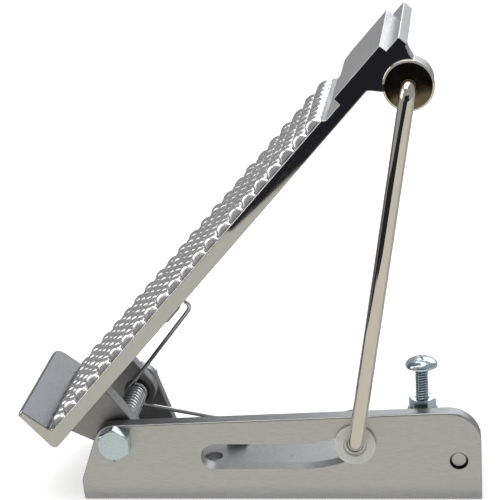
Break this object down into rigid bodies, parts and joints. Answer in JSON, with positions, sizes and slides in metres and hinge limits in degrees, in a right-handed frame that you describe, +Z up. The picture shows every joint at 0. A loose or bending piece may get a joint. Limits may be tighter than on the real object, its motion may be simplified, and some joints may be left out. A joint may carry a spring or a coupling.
{
  "type": "foot throttle pedal",
  "caption": "Floor-mounted foot throttle pedal: slotted cast base, hinged ribbed pedal with return spring, bent link rod, slot slider with cable clevis, and an adjustable stop screw.",
  "frame": {"origin": "on the base's underside, straight below the hinge axis and midway across the base", "axes": "+X along the base from the heel to the toe, +Y across the base away from the link rod, +Z up"},
  "size_m": [0.2187, 0.0929, 0.2227],
  "materials": {
    "cast": "belt-sanded casting",
    "zinc": "bright zinc plate",
    "nickel": "polished nickel plate",
    "wire": "drawn spring wire",
    "clip": "blued spring steel",
    "bronze": "sintered bronze",
    "nylon": "natural nylon"
  },
  "bodies": {
    "base": {"base_casting": "cast", "hinge_screw_near": "zinc", "hinge_screw_far": "zinc", "spring_arbor": "wire", "spring_coil": "wire", "stop_jam_nut": "zinc", "cable_anchor_pin": "zinc", "anchor_spacer": "zinc", "cable_anchor_block": "cast", "anchor_set_screw": "clip", "anchor_clip": "clip"},
    "stop": {"stop_screw": "zinc"},
    "pedal": {"pedal_casting": "cast", "hinge_bush_near": "bronze", "hinge_bush_far": "bronze", "rod_bush": "bronze", "spring_leg_upper": "wire"},
    "link": {"link_rod": "nickel", "rod_shoulder_disc": "nickel", "rod_inner_washer": "zinc", "rod_push_nut": "clip"},
    "slider": {"slot_bushing": "nylon", "slot_washer": "nylon", "slider_spacer": "nickel", "slider_pin": "nickel", "slider_clip": "clip"},
    "clevis": {"cable_clevis": "zinc"}
  },
  "joints": [
    {"name": "pedal_hinge", "type": "hinge", "parent": "base", "child": "pedal", "pos_m": [0, 0, 0.031], "axis": [0, 1, 0], "range_deg": [0, 41.5], "stiffness_Nm_per_rad": 0.9, "springref_deg": -57.3},
    {"name": "link_pivot", "type": "hinge", "parent": "pedal", "child": "link", "pos_m": [0.14419, -0.046, 0.20127], "axis": [0, 1, 0], "range_deg": [0, 26.1]},
    {"name": "slot_travel", "type": "hinge", "parent": "base", "child": "slider", "pos_m": [0.0693, -0.0334, 0.15456], "axis": [0, 1, 0], "range_deg": [0, 27.3]},
    {"name": "clevis_pivot", "type": "hinge", "parent": "slider", "child": "clevis", "pos_m": [0.1143, -0.02, 0.02914], "axis": [0, 1, 0], "range_deg": [-27.3, 0]},
    {"name": "stop_adjust", "type": "slide", "parent": "base", "child": "stop", "axis": [0, 0, 1], "range_m": [-0.008, 0]}
  ],
  "couplings": [
    {"joint": "link_pivot", "follows": "pedal_hinge", "ratio": 0.6241},
    {"joint": "slot_travel", "follows": "pedal_hinge", "ratio": 0.6522},
    {"joint": "clevis_pivot", "follows": "pedal_hinge", "ratio": -0.6522}
  ]
}
